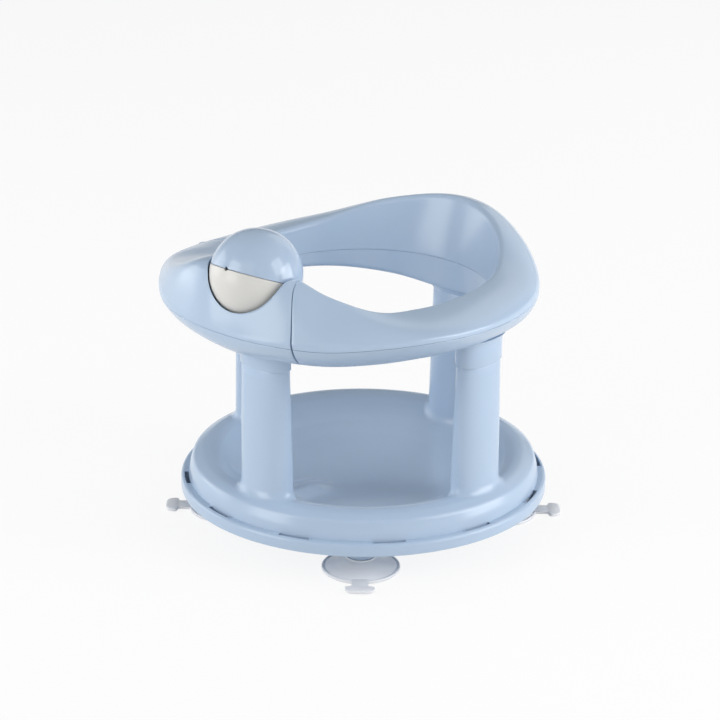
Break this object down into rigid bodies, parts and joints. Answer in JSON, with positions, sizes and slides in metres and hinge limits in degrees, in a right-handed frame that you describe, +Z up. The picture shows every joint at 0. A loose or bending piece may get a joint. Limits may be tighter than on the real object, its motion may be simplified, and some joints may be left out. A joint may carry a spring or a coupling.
{
  "type": "baby bath seat",
  "caption": "Swivelling baby bath seat: a raised ring with an opening front section and a two-tone play ball, on posts over a round tray and a base with suction cups.",
  "frame": {"origin": "centre of the footprint, on the bath's floor under the suction cups' lips", "axes": "+Z up, the seated child faces -Y, +X is the child's left"},
  "size_m": [0.3601, 0.378, 0.3307],
  "materials": {
    "shell": "pale blue, glossy, moulded polypropylene",
    "ball_blue": "light blue, glossy",
    "ball_white": "warm white, glossy",
    "cup": "translucent soft vinyl, smooth",
    "steel": "stainless, plain"
  },
  "bodies": {
    "base": {"base_disc": "shell", "suction_cup_left_rear": "cup", "suction_cup_right_rear": "cup", "suction_cup_right_front": "cup", "suction_cup_left_front": "cup"},
    "seat": {"seat_tray": "shell", "ring_lower_shell": "shell", "ring_upper_shell": "shell", "ring_screw_1": "steel", "ring_screw_2": "steel", "ring_screw_3": "steel", "ring_screw_4": "steel", "ring_screw_5": "steel", "ring_screw_6": "steel", "post_screw_left": "steel", "post_screw_rear": "steel", "post_screw_right": "steel", "hinge_pin": "steel"},
    "gate": {"gate_lower_shell": "shell", "gate_upper_shell": "shell", "gate_screw_1": "steel", "gate_screw_2": "steel", "gate_screw_3": "steel", "ball_axle": "steel"},
    "ball": {"ball_upper_half": "ball_blue", "ball_lower_half": "ball_white"}
  },
  "joints": [
    {"name": "seat_swivel", "type": "hinge", "parent": "base", "child": "seat", "pos_m": [0, 0.009, 0.04], "axis": [0, 0, 1], "continuous": true},
    {"name": "gate_swing", "type": "hinge", "parent": "seat", "child": "gate", "pos_m": [-0.17211, -0.03232, 0.24], "axis": [0, 0, -1], "range_deg": [0, 90]},
    {"name": "ball_spin", "type": "hinge", "parent": "gate", "child": "ball", "pos_m": [0, -0.1445, 0.2875], "axis": [1, 0, 0], "continuous": true}
  ]
}
